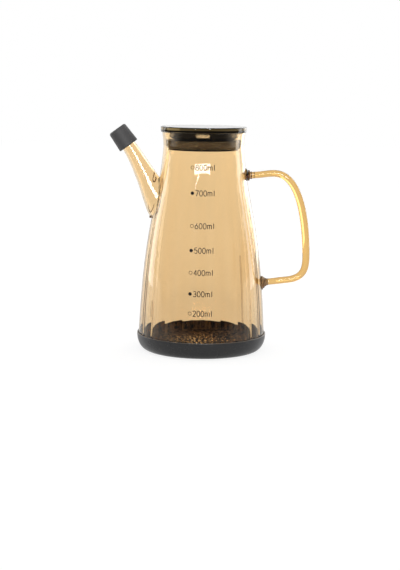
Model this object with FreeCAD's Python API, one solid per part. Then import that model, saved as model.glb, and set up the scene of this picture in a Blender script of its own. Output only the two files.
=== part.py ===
"""Oil pot: a one-piece amber glass jug with a drawn spout and a looped rod handle, standing in a
silicone base sleeve and closed by a glass lid with a plug and gasket, and by a cap on the spout.

Frame: +Z up, origin on the jug's axis at the underside of the sleeve, +X towards the handle,
spout towards -X, millimetres. The jug, its spout and its handle are symmetric about Y = 0.
"""
import FreeCAD, Part
import math
import os

V = FreeCAD.Vector

# ---- base sleeve -------------------------------------------------------------------------------
SLEEVE_FLOOR = 2.5          # thickness under the glass
SLEEVE_WALL = 1.0           # thickness beside the glass
SLEEVE_CLEAR = 0.15         # gap all round between sleeve and glass
SLEEVE_RIM_Z = 13.6         # top of the sleeve
SLEEVE_LIP_R = 0.45         # rounding of the rim's edges

# ---- jug body ----------------------------------------------------------------------------------
BASE_R = 50.45              # outside radius just above the bottom corner
CORNER_R = 7.0              # bottom corner, radial half axis
CORNER_H = 10.0             # bottom corner, upright half axis
RIM_Z = 173.5               # top of the rim
SHOULDER_DROP = 18.5        # from the rim down to where the cone runs into the neck
NECK_DROP = 10.5            # from the rim down to the narrowest height
NECK_R = 31.8               # narrowest outside radius
SHOULDER_STEP = 0.6         # how much wider the cone's top is than the neck
RIM_FLARE = 1.1             # how much wider the rim is than the neck
WALL = 1.8                  # glass thickness of the wall, measured at the flutes
GLASS_FLOOR = 5.0           # glass thickness of the bottom
HOLLOW_CORNER_R = 6.0       # radial half axis of the corner inside the bottom
BASE_LEAN = 0.045           # inward lean of the wall at the base, mm per mm
BASE_PULL = 92.0            # how far up the base's direction carries
SHOULDER_LEAN = 0.09        # inward lean where the cone meets the neck
SHOULDER_PULL = 42.0        # how far down the neck's direction carries

# ---- flutes inside the wall --------------------------------------------------------------------
FLUTES = 20
FLUTE_DEPTH = 0.7           # depth at the foot, fading to nothing at the top
FLUTE_FOOT_Z = 12.6
FLUTE_END = 5.0             # how far below the cone's top they end

# ---- spout -------------------------------------------------------------------------------------
SPOUT_DROP = 19.3           # from the cone's top down to where the spout's bend starts
SPOUT_ROOT_OUT = 8.9        # how far that point lies outside the wall
SPOUT_ROOT_TILT = 28.2      # lean from upright there
SPOUT_RISE = 34.3           # rise from there to the tip
SPOUT_REACH = 21.0          # sideways run from there to the tip
SPOUT_TIP_TILT = 36.0       # lean from upright at the tip
SPOUT_TIP_R = 5.3
SPOUT_ROOT_R = 8.55
SPOUT_TIP_PULL = 14.0
SPOUT_ROOT_PULL = 25.9
SPOUT_SKIRT = 34.0          # length of the skirt below the bend, most of it inside the jug
SPOUT_SKIRT_END = 36.0      # where the skirt would close to a point
SPOUT_SKIRT_GROW = 0.185    # radius gained per mm of skirt before it rounds off
SPOUT_WALL = 1.5

# ---- handle ------------------------------------------------------------------------------------
ROD_R = 2.6                 # rod radius near the jug
GRIP_R = 3.05               # rod radius at the grip
HANDLE_DROP = 15.1          # from the cone's top down to the upper weld
TOP_PULL = 13.0             # how straight the upper arm leaves the wall
CREST_OUT = 22.5            # crest of the upper bend, out from the wall
CREST_RISE = 1.7            # how far the crest stands above the upper weld
CREST_PULL_IN = 9.0         # fullness of the bend before and after the crest
CREST_PULL_OUT = 24.6
GRIP_OUT = 32.5             # grip's centre line, out from the base radius
GRIP_Z = 74.0               # height where the grip stands upright
GRIP_PULL_UP = 13.0         # fullness of the bends above and below that height
GRIP_PULL_DOWN = 9.0
HEEL_OUT = 18.0             # end of the lower bend, out from the base radius
HEEL_Z = 56.7
HEEL_PULL = 12.5            # fullness of the lower bend at its end
HEEL_SLOPE = 7.0            # slope of the lower arm, degrees
WELD_R = 5.4                # radius of the flared weld at the wall
WELD_LEN = 5.5              # length over which the weld narrows to the rod
WELD_SINK = 1.0             # how far the welds run into the wall

# ---- lid ---------------------------------------------------------------------------------------
LID_OVERHANG = 1.1          # how far the disc stands out past the rim
LID_THICK = 4.5
LID_EDGE_R = 0.7
PLUG_TOP_GAP = 2.7          # from the flange under the lid to the neck's inner wall
PLUG_FOOT_GAP = 2.0         # from the flange below the gasket to the same wall
PLUG_WAIST_GAP = 7.2        # from the waist to the same wall
PLUG_DEPTH = 13.8           # from the rim down to the plug's underside
PLUG_FLARE = 4.7            # from the top flange down to the waist
PLUG_FLANGE = 0.9
PLUG_FOOT = 1.0
GASKET_HEIGHT = 6.6
GASKET_CLEAR = 0.1          # gap to the plug and to the neck
GASKET_CORNER_R = 2.6
GASKET_CORNER_H = 5.6

# ---- spout cap ---------------------------------------------------------------------------------
CAP_WALL = 2.35             # thickness at the mouth
CAP_TAPER = 0.9             # how much narrower the top is than the mouth
CAP_LEN = 16.2
CAP_SEAT = 9.6              # depth of the bore, where the spout's tip seats
CAP_CLEAR = 0.45            # least gap between the bore and the spout inside it
CAP_BORE_STEP = 0.05        # the bore is rounded up to this
CAP_TOP_EDGE = 1.8
CAP_MOUTH_EDGE = 0.6

# ---- sizes that follow from the ones above -----------------------------------------------------
GLASS_Z = SLEEVE_FLOOR
CORNER_TOP_Z = GLASS_Z + CORNER_H
SHOULDER_Z = RIM_Z - SHOULDER_DROP
SHOULDER_R = NECK_R + SHOULDER_STEP
NECK_Z = RIM_Z - NECK_DROP
RIM_R = NECK_R + RIM_FLARE
FLUTE_TOP_Z = SHOULDER_Z - FLUTE_END
SPOUT_ROOT_Z = SHOULDER_Z - SPOUT_DROP
HANDLE_TOP_Z = SHOULDER_Z - HANDLE_DROP
CREST_Z = HANDLE_TOP_Z + CREST_RISE
LID_R = RIM_R + LID_OVERHANG
NECK_BORE_R = NECK_R - WALL
PLUG_FOOT_Z = RIM_Z - PLUG_DEPTH
GASKET_Z = PLUG_FOOT_Z + PLUG_FOOT


# ---- curves ------------------------------------------------------------------------------------
def bezier_point(p, t):
    """Point at t on a cubic Bezier given as four (a, b) pairs."""
    k = ((1 - t) ** 3, 3 * (1 - t) ** 2 * t, 3 * (1 - t) * t * t, t ** 3)
    return sum(w * q[0] for w, q in zip(k, p)), sum(w * q[1] for w, q in zip(k, p))


def bezier_direction(p, t):
    """Unit direction at t on a cubic Bezier."""
    k = ((1 - t) ** 2, 2 * (1 - t) * t, t * t)
    d = [sum(w * (p[i + 1][j] - p[i][j]) for i, w in enumerate(k)) for j in (0, 1)]
    n = math.hypot(*d)
    return d[0] / n, d[1] / n


def bezier_edge(p):
    """The same Bezier as an edge in the X-Z plane."""
    curve = Part.BezierCurve()
    curve.setPoles([V(a, 0, b) for a, b in p])
    return curve.toShape()


def corner_edge(r, z, half_r, half_h):
    """Quarter ellipse from (r - half_r, z - half_h) out and up to (r, z)."""
    centre = V(r - half_r, 0, z)
    down = centre + V(0, 0, -half_h)
    out = centre + V(half_r, 0, 0)
    ends = (down, out) if half_h >= half_r else (out, down)
    whole = Part.Ellipse(ends[0], ends[1], centre)
    return Part.ArcOfEllipse(whole, 0, math.pi / 2).toShape()


def line(a, b):
    return Part.LineSegment(V(a[0], 0, a[1]), V(b[0], 0, b[1])).toShape()


def arc(a, m, b):
    return Part.Arc(V(a[0], 0, a[1]), V(m[0], 0, m[1]), V(b[0], 0, b[1])).toShape()


def quarter(centre, radius, start_deg):
    """Quarter circle about centre, anticlockwise from start_deg."""
    pts = []
    for step in (0, 45, 90):
        a = math.radians(start_deg + step)
        pts.append((centre[0] + radius * math.cos(a), centre[1] + radius * math.sin(a)))
    return arc(*pts)


def revolved(edges):
    """Solid of revolution about Z from a closed chain of edges in the X-Z plane."""
    wire = Part.Wire(Part.__sortEdges__(edges))
    return Part.Face(wire).revolve(V(0, 0, 0), V(0, 0, 1), 360)


def leaning(tilt_deg):
    """Unit vector leaning from +Z towards -X."""
    a = math.radians(tilt_deg)
    return -math.sin(a), math.cos(a)


def ring(centre, radius, direction):
    """Circle in space about a point of the X-Z plane, its seam always on the +Y side."""
    z_axis = V(direction[0], 0, direction[1])
    x_axis = V(0, 1, 0)
    place = FreeCAD.Placement(V(centre[0], 0, centre[1]),
                              FreeCAD.Rotation(x_axis, z_axis.cross(x_axis), z_axis, "ZXY"))
    edge = Part.makeCircle(radius)
    edge.Placement = place
    return Part.Wire([edge])


# ---- the jug's outline -------------------------------------------------------------------------
def outline(inset):
    """Body, neck and flare as Beziers in (radius, height), moved inwards by inset."""
    flare = (RIM_Z - NECK_Z) / 3
    body = [(BASE_R, CORNER_TOP_Z),
            (BASE_R - BASE_LEAN * BASE_PULL, CORNER_TOP_Z + BASE_PULL),
            (SHOULDER_R + SHOULDER_LEAN * SHOULDER_PULL, SHOULDER_Z - SHOULDER_PULL),
            (SHOULDER_R, SHOULDER_Z)]
    third = (NECK_Z - SHOULDER_Z) / 3
    neck = [(SHOULDER_R, SHOULDER_Z), (SHOULDER_R - SHOULDER_LEAN * third, SHOULDER_Z + third),
            (NECK_R, NECK_Z - third), (NECK_R, NECK_Z)]
    rim = [(NECK_R, NECK_Z), (NECK_R, NECK_Z + flare),
           (RIM_R - 0.18 * flare, RIM_Z - flare), (RIM_R, RIM_Z)]
    return [[(r - inset, z) for r, z in seg] for seg in (body, neck, rim)]


def wall_radius(z, inset=0.0):
    """Radius of the outline at height z, by halving along the Bezier that spans it."""
    for seg in outline(inset):
        if z <= seg[-1][1]:
            break
    lo, hi = 0.0, 1.0
    for _ in range(50):
        mid = (lo + hi) / 2
        if bezier_point(seg, mid)[1] < z:
            lo = mid
        else:
            hi = mid
    return bezier_point(seg, lo)[0]


# ---- glass jug ---------------------------------------------------------------------------------
def jug_outside():
    body, neck, rim = outline(0.0)
    edges = [line((0, GLASS_Z), (BASE_R - CORNER_R, GLASS_Z)),
             corner_edge(BASE_R, CORNER_TOP_Z, CORNER_R, CORNER_H),
             bezier_edge(body), bezier_edge(neck), bezier_edge(rim),
             line((RIM_R, RIM_Z), (0, RIM_Z)), line((0, RIM_Z), (0, GLASS_Z))]
    return revolved(edges)


def flute_depth(z):
    share = (FLUTE_TOP_Z - z) / (FLUTE_TOP_Z - FLUTE_FOOT_Z)
    return FLUTE_DEPTH * max(0.0, share) ** 0.8


def fluted_section(z):
    """Closed wire of FLUTES arcs that bulge outwards, meeting at the ribs."""
    hollow = wall_radius(z, WALL)
    rib = hollow - flute_depth(z)
    step = 2 * math.pi / FLUTES

    def at(radius, angle):
        return V(radius * math.cos(angle), radius * math.sin(angle), z)
    arcs = [Part.Arc(at(rib, step * k), at(hollow, step * (k + 0.5)), at(rib, step * (k + 1)))
            for k in range(FLUTES)]
    return Part.Wire([a.toShape() for a in arcs])


def jug_hollow():
    """Round bottom, fluted body and plain neck of the space inside."""
    floor_z = GLASS_Z + GLASS_FLOOR
    foot_r = wall_radius(FLUTE_FOOT_Z, WALL) - FLUTE_DEPTH - 0.05
    bowl = revolved([line((0, floor_z), (foot_r - HOLLOW_CORNER_R, floor_z)),
                     corner_edge(foot_r, FLUTE_FOOT_Z, HOLLOW_CORNER_R, FLUTE_FOOT_Z - floor_z),
                     line((foot_r, FLUTE_FOOT_Z), (0, FLUTE_FOOT_Z)),
                     line((0, FLUTE_FOOT_Z), (0, floor_z))])
    levels = 7
    heights = [FLUTE_FOOT_Z + (FLUTE_TOP_Z - FLUTE_FOOT_Z) * k / (levels - 1) for k in range(levels)]
    fluted = Part.makeLoft([fluted_section(z) for z in heights], True, False)
    return bowl, fluted, neck_hollow()


def neck_hollow():
    """Space inside the neck, from the end of the flutes to above the rim."""
    body, neck, rim = outline(WALL)
    part = Part.BezierCurve()
    part.setPoles([V(a, 0, b) for a, b in body])
    lo, hi = 0.0, 1.0
    for _ in range(50):
        mid = (lo + hi) / 2
        if bezier_point(body, mid)[1] < FLUTE_TOP_Z:
            lo = mid
        else:
            hi = mid
    part.segment(lo, 1.0)
    top = RIM_Z + 2.0
    start = (wall_radius(FLUTE_TOP_Z, WALL), FLUTE_TOP_Z)
    edges = [part.toShape(), bezier_edge(neck), bezier_edge(rim),
             line(rim[-1], (rim[-1][0], top)), line((rim[-1][0], top), (0, top)),
             line((0, top), (0, start[1])), line((0, start[1]), start)]
    return revolved(edges)


def spout_path():
    """Bezier from the tip down to the root, in (x, z)."""
    root = (-(wall_radius(SPOUT_ROOT_Z) + SPOUT_ROOT_OUT), SPOUT_ROOT_Z)
    tip = (root[0] - SPOUT_REACH, root[1] + SPOUT_RISE)
    u, w = leaning(SPOUT_TIP_TILT), leaning(SPOUT_ROOT_TILT)
    return [tip, (tip[0] - SPOUT_TIP_PULL * u[0], tip[1] - SPOUT_TIP_PULL * u[1]),
            (root[0] + SPOUT_ROOT_PULL * w[0], root[1] + SPOUT_ROOT_PULL * w[1]), root]


def walk(points):
    """Length walked along a chain of points, up to each of them."""
    walked = [0.0]
    for a, b in zip(points, points[1:]):
        walked.append(walked[-1] + math.hypot(b[0] - a[0], b[1] - a[1]))
    return walked


def spout_radius(share):
    """Outside radius at a share of the way from the tip to the root."""
    return SPOUT_TIP_R + (SPOUT_ROOT_R - SPOUT_TIP_R) * share ** 1.7


def spout_stations():
    """Centre, radius and direction of the spout's circles, from the tip to the skirt's end."""
    path = spout_path()
    fine = 400
    points = [bezier_point(path, k / fine) for k in range(fine + 1)]
    walked = walk(points)
    spans = 7
    stations = []
    for k in range(spans + 1):
        share = k / spans
        i = min(range(fine + 1), key=lambda j: abs(walked[j] - share * walked[-1]))
        d = bezier_direction(path, i / fine)
        stations.append((points[i], spout_radius(share), (-d[0], -d[1])))
    w = leaning(SPOUT_ROOT_TILT)
    for share in (0.22, 0.42, 0.58, 0.7, 0.79, 0.88, 0.94, 1.0):
        run = share * SPOUT_SKIRT
        centre = (path[3][0] - run * w[0], path[3][1] - run * w[1])
        radius = SPOUT_ROOT_R + SPOUT_SKIRT_GROW * run
        stations.append((centre, radius * math.sqrt(1 - (run / SPOUT_SKIRT_END) ** 6), w))
    return stations


def spout_body(inset, overrun):
    """Trumpet from the tip to the skirt, whose rounded end lies inside the jug."""
    stations = spout_stations()
    if overrun:
        tip, radius, u = stations[0]
        ahead = (tip[0] + overrun * u[0], tip[1] + overrun * u[1])
        stations.insert(0, (ahead, radius, u))
    return Part.makeLoft([ring(c, r - inset, d) for c, r, d in stations], True, False)


def handle_rings():
    """Circles along the handle's centre line, flared where it is welded to the wall."""
    top = (wall_radius(HANDLE_TOP_Z) - WELD_SINK, HANDLE_TOP_Z)
    crest = (wall_radius(HANDLE_TOP_Z) + CREST_OUT, CREST_Z)
    grip = (BASE_R + GRIP_OUT, GRIP_Z)
    heel = (BASE_R + HEEL_OUT, HEEL_Z)
    slope = math.radians(HEEL_SLOPE)
    e = (math.cos(slope), math.sin(slope))
    low_z = HEEL_Z - math.tan(slope) * (heel[0] - wall_radius(HEEL_Z))
    run = (heel[0] - wall_radius(low_z) + WELD_SINK) / e[0]
    low = (heel[0] - run * e[0], heel[1] - run * e[1])
    bends = [[top, (top[0] + TOP_PULL, top[1]), (crest[0] - CREST_PULL_IN, crest[1]), crest],
             [crest, (crest[0] + CREST_PULL_OUT, crest[1]), (grip[0], grip[1] + GRIP_PULL_UP), grip],
             [grip, (grip[0], grip[1] - GRIP_PULL_DOWN),
              (heel[0] + HEEL_PULL * e[0], heel[1] + HEEL_PULL * e[1]), heel],
             [heel, (heel[0] - run * e[0] / 3, heel[1] - run * e[1] / 3),
              (heel[0] - 2 * run * e[0] / 3, heel[1] - 2 * run * e[1] / 3), low]]
    points = []
    for bend, count in zip(bends, (40, 80, 40, 40)):
        for k in range(count):
            points.append((bezier_point(bend, k / count), bezier_direction(bend, k / count)))
    points.append((low, (-e[0], -e[1])))
    walked = walk([p for p, _ in points])
    total = walked[-1]
    reach = WELD_SINK + WELD_LEN
    near = [reach * step / 6.5 for step in (0.0, 1.0, 2.0, 3.2, 4.6, 6.5)]
    free = total - 2 * near[-1]
    spans = 22
    stations = near + [near[-1] + free * k / spans for k in range(1, spans)]
    stations += [total - s for s in reversed(near)]
    rings = []
    for s in stations:
        k = max(i for i, w in enumerate(walked) if w <= s + 1e-9)
        end = min(s, total - s)
        flare = max(0.0, 1 - max(0.0, end - WELD_SINK) / WELD_LEN) ** 2.4
        swell = math.sin(math.pi * s / total) ** 2
        radius = ROD_R + (GRIP_R - ROD_R) * swell + (WELD_R - ROD_R) * flare
        share = 0.0 if k + 1 >= len(points) else (s - walked[k]) / (walked[k + 1] - walked[k])
        a, b = points[k][0], points[min(k + 1, len(points) - 1)][0]
        centre = (a[0] + share * (b[0] - a[0]), a[1] + share * (b[1] - a[1]))
        rings.append(ring(centre, radius, points[k][1]))
    return rings


def glass_jug():
    bowl, fluted, neck = jug_hollow()
    handle = Part.makeLoft(handle_rings(), True, False)
    jug = jug_outside().fuse([spout_body(0.0, 0.0), handle])
    for space in (fluted, bowl, neck, spout_body(SPOUT_WALL, 2.0)):
        jug = jug.cut(space)
    return jug


# ---- sleeve ------------------------------------------------------------------------------------
def base_sleeve():
    """Silicone cup with the jug's own bottom corner, a clearance inside and a rounded rim."""
    inner = [(r + SLEEVE_CLEAR, z) for r, z in
             ((wall_radius(CORNER_TOP_Z), CORNER_TOP_Z), (wall_radius(CORNER_TOP_Z), SLEEVE_RIM_Z))]
    inner_r = inner[0][0]
    outer_r = inner_r + SLEEVE_WALL
    lip = min(SLEEVE_LIP_R, 0.49 * SLEEVE_WALL)
    grow = SLEEVE_CLEAR + SLEEVE_WALL
    corner_h = CORNER_H + SLEEVE_FLOOR
    edges = [line((0, 0), (outer_r - CORNER_R - grow, 0)),
             corner_edge(outer_r, corner_h, CORNER_R + grow, corner_h),
             line((outer_r, corner_h), (outer_r, SLEEVE_RIM_Z - lip)),
             quarter((outer_r - lip, SLEEVE_RIM_Z - lip), lip, 0),
             line((outer_r - lip, SLEEVE_RIM_Z), (inner_r + lip, SLEEVE_RIM_Z)),
             quarter((inner_r + lip, SLEEVE_RIM_Z - lip), lip, 90),
             line((inner_r, SLEEVE_RIM_Z - lip), (inner_r, CORNER_TOP_Z)),
             corner_edge(inner_r, CORNER_TOP_Z, CORNER_R + SLEEVE_CLEAR, CORNER_H),
             line((inner_r - CORNER_R - SLEEVE_CLEAR, GLASS_Z), (0, GLASS_Z)),
             line((0, GLASS_Z), (0, 0))]
    return revolved(edges)


# ---- lid ---------------------------------------------------------------------------------------
def lid_disc():
    disc = Part.makeCylinder(LID_R, LID_THICK, V(0, 0, RIM_Z))
    rims = [e for e in disc.Edges if isinstance(e.Curve, Part.Circle)]
    return disc.makeFillet(LID_EDGE_R, rims)


def lid_plug():
    """Spool under the lid: glued flange, hollow flare, waist and the flange below the gasket."""
    top_r = NECK_BORE_R - PLUG_TOP_GAP
    waist_r = NECK_BORE_R - PLUG_WAIST_GAP
    foot_r = NECK_BORE_R - PLUG_FOOT_GAP
    flange_z = RIM_Z - PLUG_FLANGE
    waist_z = flange_z - PLUG_FLARE
    flare = [(top_r, flange_z), (top_r - 1.2, flange_z - 2.2),
             (waist_r, waist_z + 2.4), (waist_r, waist_z)]
    edges = [line((0, RIM_Z), (top_r, RIM_Z)), line((top_r, RIM_Z), (top_r, flange_z)),
             bezier_edge(flare), line((waist_r, waist_z), (waist_r, GASKET_Z)),
             line((waist_r, GASKET_Z), (foot_r, GASKET_Z)),
             line((foot_r, GASKET_Z), (foot_r, PLUG_FOOT_Z)),
             line((foot_r, PLUG_FOOT_Z), (0, PLUG_FOOT_Z)), line((0, PLUG_FOOT_Z), (0, RIM_Z))]
    return revolved(edges)


def lid_gasket():
    """Silicone ring round the plug's waist, resting on its foot and filling the neck."""
    inner = NECK_BORE_R - PLUG_WAIST_GAP + GASKET_CLEAR
    outer = NECK_BORE_R - GASKET_CLEAR
    top = GASKET_Z + GASKET_HEIGHT
    edges = [line((inner, GASKET_Z), (outer - GASKET_CORNER_R, GASKET_Z)),
             corner_edge(outer, GASKET_Z + GASKET_CORNER_H, GASKET_CORNER_R, GASKET_CORNER_H),
             line((outer, GASKET_Z + GASKET_CORNER_H), (outer, top)),
             line((outer, top), (inner, top)), line((inner, top), (inner, GASKET_Z))]
    return revolved(edges)


# ---- spout cap ---------------------------------------------------------------------------------
def spout_room(depth):
    """Radius about the tip's axis that the spout's bend and swell need down to a depth."""
    path = spout_path()
    tip, u = path[0], leaning(SPOUT_TIP_TILT)
    fine = 400
    points = [bezier_point(path, k / fine) for k in range(fine + 1)]
    walked = walk(points)
    room = 0.0
    for point, length in zip(points, walked):
        x, z = tip[0] - point[0], tip[1] - point[1]
        if x * u[0] + z * u[1] <= depth:
            room = max(room, abs(x * u[1] - z * u[0]) + spout_radius(length / walked[-1]))
    return room


def spout_cap():
    """Tapered silicone cap whose bore ends on the spout's tip."""
    room = spout_room(CAP_SEAT) + CAP_CLEAR
    bore = math.ceil(room / CAP_BORE_STEP) * CAP_BORE_STEP
    mouth_r = bore + CAP_WALL
    top_r = mouth_r - CAP_TAPER
    blank = revolved([line((0, 0), (mouth_r, 0)), line((mouth_r, 0), (top_r, CAP_LEN)),
                      line((top_r, CAP_LEN), (0, CAP_LEN)), line((0, CAP_LEN), (0, 0))])
    for height, rounding in ((CAP_LEN, CAP_TOP_EDGE), (0.0, CAP_MOUTH_EDGE)):
        rim = [e for e in blank.Edges if isinstance(e.Curve, Part.Circle)
               and abs(e.Curve.Center.z - height) < 1e-6]
        blank = blank.makeFillet(rounding, rim)
    blank = blank.cut(Part.makeCylinder(bore, CAP_SEAT))
    tip = spout_path()[0]
    u = leaning(SPOUT_TIP_TILT)
    blank.rotate(V(0, 0, 0), V(0, 1, 0), -SPOUT_TIP_TILT)
    blank.translate(V(tip[0] - CAP_SEAT * u[0], 0, tip[1] - CAP_SEAT * u[1]))
    return blank


# ---- write the parts ---------------------------------------------------------------------------
NODES = {
    "glass_jug": glass_jug,
    "base_sleeve": base_sleeve,
    "lid_disc": lid_disc,
    "lid_plug": lid_plug,
    "lid_gasket": lid_gasket,
    "spout_cap": spout_cap,
}

os.makedirs("parts", exist_ok=True)
for name, make in NODES.items():
    shape = make()
    print(name, "valid", shape.isValid(), "solids", len(shape.Solids), "faces", len(shape.Faces),
          "volume %.0f" % shape.Volume)
    shape.exportStep("parts/%s.step" % name)
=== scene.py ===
# %% [markdown]
# # An amber glass oil pot
# The real pot is a thin jug of amber glass, narrow at the top, with a drawn spout on one side and
# a rod handle on the other. It stands in a dark silicone sleeve. A glass lid with a black plug and
# a grey ring closes the neck, and a silicone cap closes the spout.
#
# The shapes come from a construction model that is already true to size. They could be modelled
# again here, but a second set of sizes would drift from the first, so this file loads the model,
# keeps every solid whose shape is right, and adds only what is too fine for it: the printed scale,
# the traces of fusing where glass meets glass, the wavy bottom, and the finishes.

# %% Load the construction model
import math

import bmesh
import bpy
from mathutils import Matrix, Vector, noise
from mathutils.bvhtree import BVHTree


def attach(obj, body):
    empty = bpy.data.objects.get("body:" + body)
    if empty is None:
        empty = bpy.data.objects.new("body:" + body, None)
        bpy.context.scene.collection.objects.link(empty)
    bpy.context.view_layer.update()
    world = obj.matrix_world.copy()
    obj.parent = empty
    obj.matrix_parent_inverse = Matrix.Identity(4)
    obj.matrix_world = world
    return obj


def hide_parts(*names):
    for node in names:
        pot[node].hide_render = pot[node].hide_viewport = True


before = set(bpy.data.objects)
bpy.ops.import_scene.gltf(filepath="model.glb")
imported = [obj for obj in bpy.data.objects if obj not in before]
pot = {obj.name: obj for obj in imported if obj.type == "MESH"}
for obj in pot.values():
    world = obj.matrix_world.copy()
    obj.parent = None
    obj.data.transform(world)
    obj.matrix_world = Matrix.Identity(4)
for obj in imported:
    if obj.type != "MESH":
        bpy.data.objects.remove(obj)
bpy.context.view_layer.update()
print("solids of the pot:", ", ".join(sorted(pot)))

# %% [markdown]
# ## Small helpers
# Colours are easier to judge as screen levels from 0 to 255, and sizes on a pot are easier to
# judge in millimetres. Blender wants linear colour and metres. Two short functions do the
# conversions, so that every number below stays one that a maker would recognise.

# %% Millimetres, and colours as screen levels
MM = 0.001


def tone(red, green, blue):
    """Linear colour with alpha from three screen levels."""
    linear = []
    for level in (red, green, blue):
        c = level / 255
        linear.append(c / 12.92 if c <= 0.04045 else ((c + 0.055) / 1.055) ** 2.4)
    return (*linear, 1.0)


print("mid grey as linear colour:", [round(c, 3) for c in tone(128, 128, 128)])

# %% Make a piece from a bmesh
def piece_from(name, shape, material, crease=60.0):
    """Object made of a bmesh, riding on the pot; edges sharper than the crease angle stay sharp."""
    bmesh.ops.recalc_face_normals(shape, faces=shape.faces)
    mesh = bpy.data.meshes.new(name)
    shape.to_mesh(mesh)
    shape.free()
    mesh.shade_smooth()
    mesh.set_sharp_from_angle(angle=math.radians(crease))
    mesh.materials.append(material)
    piece = bpy.data.objects.new(name, mesh)
    bpy.context.scene.collection.objects.link(piece)
    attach(piece, "root")
    print(name, "has", len(mesh.polygons), "faces")
    return piece

# %% [markdown]
# ## Node groups that several finishes share
# Three effects turn up in more than one finish. Drawn glass is never quite even: it has long
# upright ripples. Moulded silicone has a fine skin, cloudy patches and dust. And printing, plastic
# and glass that are handled get rubbed. Each effect could be built again in every material. It is
# built once here as a node group with named inputs, and each material gives it its own values. A
# fourth group draws one thin upright line, because the wall has two of them.

# %% A short way to add nodes
def new_group(name, inputs, outputs):
    """Empty shader node group with float inputs (name, default) and float outputs (name)."""
    group = bpy.data.node_groups.new(name, "ShaderNodeTree")
    for label, default in inputs:
        socket = group.interface.new_socket(label, in_out="INPUT", socket_type="NodeSocketFloat")
        socket.default_value = default
    for label in outputs:
        group.interface.new_socket(label, in_out="OUTPUT", socket_type="NodeSocketFloat")
    return group, group.nodes.new("NodeGroupInput"), group.nodes.new("NodeGroupOutput")


def place_group(material, group, **values):
    """Put a node group into a material and set its inputs by name."""
    node = material.node_tree.nodes.new("ShaderNodeGroup")
    node.node_tree = group
    for label, value in values.items():
        node.inputs[label.replace("_", " ")].default_value = value
    return node


def feed(tree, value, socket):
    """Link an output to a socket, or set the socket to a plain number or colour."""
    if isinstance(value, bpy.types.NodeSocket):
        tree.links.new(value, socket)
    else:
        socket.default_value = value


print("helpers for node groups are ready")

# %% Sums, places, noise, steps and colours as nodes
def math_node(tree, operation, *values):
    """Math node whose inputs are sockets or plain numbers; returns its output socket."""
    node = tree.nodes.new("ShaderNodeMath")
    node.operation = operation
    for socket, value in zip(node.inputs, values):
        feed(tree, value, socket)
    return node.outputs[0]


def place(tree):
    """Where a point lies in the pot's frame, as one socket."""
    return tree.nodes.new("ShaderNodeTexCoord").outputs["Object"]


def place_parts(tree, point=None):
    """The X, Y and Z of a point, in metres; without a point, of the place in the pot's frame."""
    split = tree.nodes.new("ShaderNodeSeparateXYZ")
    tree.links.new(place(tree) if point is None else point, split.inputs[0])
    return split.outputs


def noise_field(tree, point, scale, detail):
    """Value of a noise texture at a point."""
    node = tree.nodes.new("ShaderNodeTexNoise")
    node.inputs["Detail"].default_value = detail
    feed(tree, point, node.inputs["Vector"])
    feed(tree, scale, node.inputs["Scale"])
    return node.outputs["Fac"]


def step_up(tree, value, low, high, kind="SMOOTHSTEP"):
    """0 below a low value, 1 above a high one, and rising in between."""
    node = tree.nodes.new("ShaderNodeMapRange")
    node.interpolation_type = kind
    node.inputs["From Min"].default_value = low
    node.inputs["From Max"].default_value = high
    tree.links.new(value, node.inputs["Value"])
    return node.outputs["Result"]


def mixed(tree, share, first, second):
    """Colour between two colours by a share; each of the three may be a socket."""
    node = tree.nodes.new("ShaderNodeMix")
    node.data_type = "RGBA"
    feed(tree, share, node.inputs["Factor"])
    feed(tree, first, node.inputs["A"])
    feed(tree, second, node.inputs["B"])
    return node.outputs["Result"]


print("helpers for single nodes are ready")

# %% Ripples of drawn glass
def make_drawn_glass():
    """Upright streaks and slow waves, as a height and as a streak mask."""
    group, given, out = new_group(
        "drawn_glass", [("Streaks per metre", 160.0), ("Stretch", 0.06), ("Wave scale", 30.0),
                        ("Wave share", 0.5)], ["Height", "Streak"])
    upright = group.nodes.new("ShaderNodeCombineXYZ")
    upright.inputs["X"].default_value = 1.0
    upright.inputs["Y"].default_value = 1.0
    group.links.new(given.outputs["Stretch"], upright.inputs["Z"])
    squash = group.nodes.new("ShaderNodeVectorMath")
    squash.operation = "MULTIPLY"
    group.links.new(place(group), squash.inputs[0])
    group.links.new(upright.outputs[0], squash.inputs[1])
    streak = noise_field(group, squash.outputs[0], given.outputs["Streaks per metre"], 3.0)
    wave = noise_field(group, place(group), given.outputs["Wave scale"], 1.0)
    height = math_node(group, "MULTIPLY_ADD", wave, given.outputs["Wave share"], streak)
    group.links.new(height, out.inputs["Height"])
    group.links.new(streak, out.inputs["Streak"])
    return group


drawn_glass = make_drawn_glass()
print("group", drawn_glass.name, "gives a height and a streak mask")

# %% Skin of moulded silicone
DUST_ABOVE = 0.74  # only the peaks of the noise are specks


def make_silicone_skin():
    """Cloudy patches, a fine matt grain and specks of dust, as masks and a height."""
    group, given, out = new_group(
        "silicone_skin", [("Cloud scale", 45.0), ("Grain scale", 2600.0), ("Dust scale", 900.0)],
        ["Cloud", "Dust", "Height"])
    cloud = noise_field(group, place(group), given.outputs["Cloud scale"], 4.0)
    grain = noise_field(group, place(group), given.outputs["Grain scale"], 2.0)
    dust = noise_field(group, place(group), given.outputs["Dust scale"], 0.0)
    group.links.new(cloud, out.inputs["Cloud"])
    group.links.new(math_node(group, "GREATER_THAN", dust, DUST_ABOVE), out.inputs["Dust"])
    group.links.new(grain, out.inputs["Height"])
    return group


silicone_skin = make_silicone_skin()
print("group", silicone_skin.name, "is ready")

# %% Rubbing from hands and cloths
# Rubbing starts where the noise passes one value and is complete a little higher.
RUBBED_FROM, RUBBED_SPAN, RUBBED_GAIN = 0.35, 0.3, 3.3


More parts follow.
